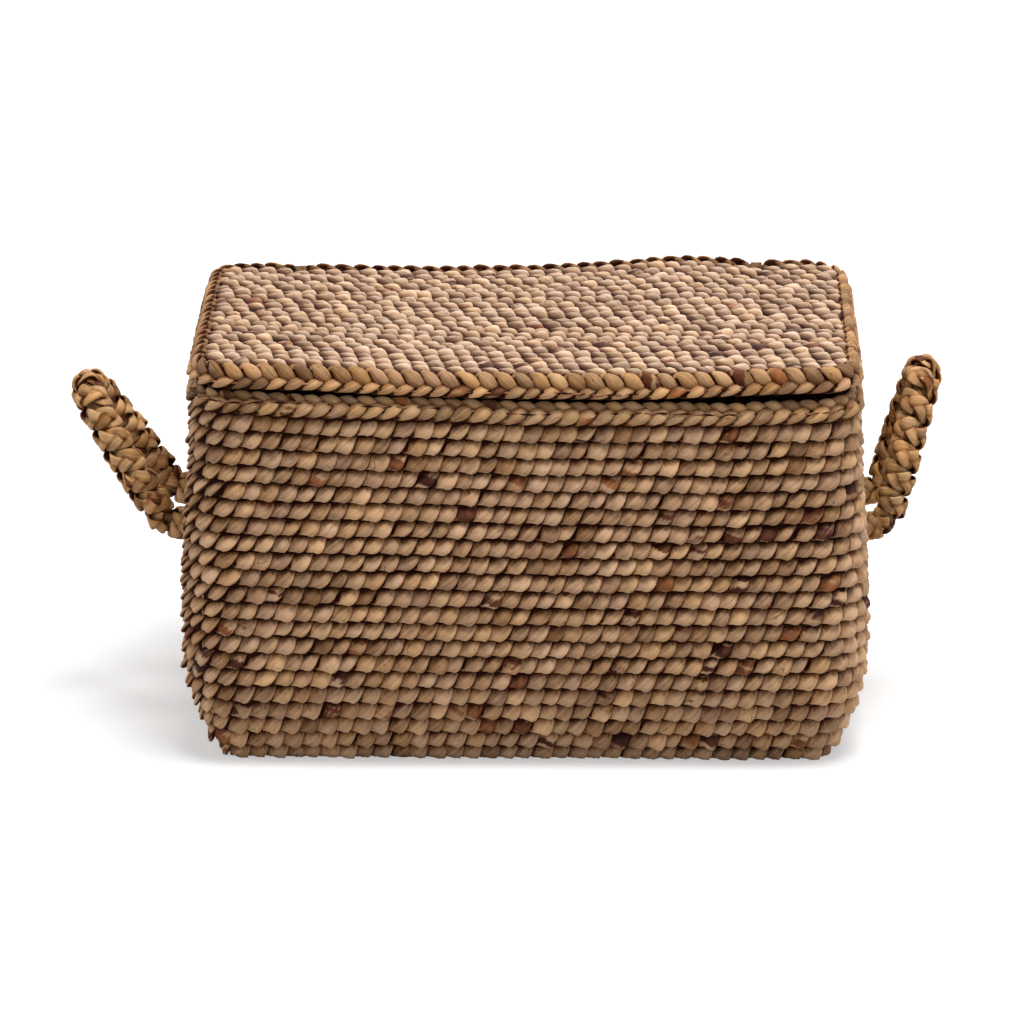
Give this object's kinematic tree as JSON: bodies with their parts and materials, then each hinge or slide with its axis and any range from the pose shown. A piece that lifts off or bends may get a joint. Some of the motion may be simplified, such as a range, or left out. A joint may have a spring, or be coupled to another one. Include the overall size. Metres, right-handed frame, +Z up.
{
  "type": "woven lidded box",
  "caption": "Rectangular box of twined plant-stalk courses with a plaited rim, a flat woven lid tied on as a hinge, and a wrapped rope loop handle at each end.",
  "frame": {"origin": "middle of the underside, where the box stands on a surface", "axes": "+Z up, +X along the width to the right handle, the lid's hinge at +Y and the front at -Y"},
  "size_m": [0.5615, 0.28, 0.2624],
  "materials": {
    "wall_stalk": "dry twisted water-hyacinth stalk, tan with brown patches, slight sheen",
    "rim_stalk": "plaited water-hyacinth stalk, tan, slight sheen",
    "lid_stalk": "twined water-hyacinth stalk, light tan, slight sheen",
    "handle_plait": "flat plait of water-hyacinth stalk, golden brown, slight sheen",
    "core_rope": "twisted stalk rope, dull brown",
    "tie_cord": "thin twisted cord, reddish brown",
    "rattan_stake": "peeled rattan, satin"
  },
  "bodies": {
    "basket": {"base_mat": "wall_stalk", "corner_stake_front_left": "rattan_stake", "corner_stake_front_right": "rattan_stake", "corner_stake_rear_left": "rattan_stake", "corner_stake_rear_right": "rattan_stake", "wall_course_01": "wall_stalk", "wall_course_02": "wall_stalk", "wall_course_03": "wall_stalk", "wall_course_04": "wall_stalk", "wall_course_05": "wall_stalk", "wall_course_06": "wall_stalk", "wall_course_07": "wall_stalk", "wall_course_08": "wall_stalk", "wall_course_09": "wall_stalk", "wall_course_10": "wall_stalk", "wall_course_11": "wall_stalk", "wall_course_12": "wall_stalk", "wall_course_13": "wall_stalk", "wall_course_14": "wall_stalk", "wall_course_15": "wall_stalk", "wall_course_16": "wall_stalk", "wall_course_17": "wall_stalk", "wall_course_18": "wall_stalk", "wall_course_19": "wall_stalk", "wall_course_20": "wall_stalk", "wall_course_21": "wall_stalk", "rim_plait": "rim_stalk", "hinge_tie_left": "tie_cord", "hinge_tie_right": "tie_cord", "handle_left_anchor": "core_rope", "handle_right_anchor": "core_rope"},
    "lid": {"lid_border_plait": "lid_stalk", "lid_row_01": "lid_stalk", "lid_row_02": "lid_stalk", "lid_row_03": "lid_stalk", "lid_row_04": "lid_stalk", "lid_row_05": "lid_stalk", "lid_row_06": "lid_stalk", "lid_row_07": "lid_stalk", "lid_row_08": "lid_stalk", "lid_row_09": "lid_stalk", "lid_row_10": "lid_stalk", "lid_row_11": "lid_stalk", "lid_row_12": "lid_stalk", "lid_row_13": "lid_stalk", "lid_row_14": "lid_stalk", "lid_row_15": "lid_stalk", "lid_row_16": "lid_stalk", "lid_row_17": "lid_stalk", "lid_row_18": "lid_stalk", "lid_row_19": "lid_stalk", "lid_row_20": "lid_stalk", "lid_row_21": "lid_stalk", "lid_stake_left": "rattan_stake", "lid_stake_right": "rattan_stake"},
    "handle_left": {"handle_left_core": "core_rope", "handle_left_wrap": "handle_plait"},
    "handle_right": {"handle_right_core": "core_rope", "handle_right_wrap": "handle_plait"}
  },
  "joints": [
    {"name": "lid_hinge", "type": "hinge", "parent": "basket", "child": "lid", "pos_m": [0, 0.1275, 0.2507], "axis": [-1, 0, 0], "range_deg": [0, 180]},
    {"name": "handle_left_swing", "type": "hinge", "parent": "basket", "child": "handle_left", "pos_m": [-0.2301, 0, 0.1308], "axis": [0, 1, 0], "range_deg": [-142, 33]},
    {"name": "handle_right_swing", "type": "hinge", "parent": "basket", "child": "handle_right", "pos_m": [0.2301, 0, 0.1308], "axis": [0, -1, 0], "range_deg": [-160, 15]}
  ]
}
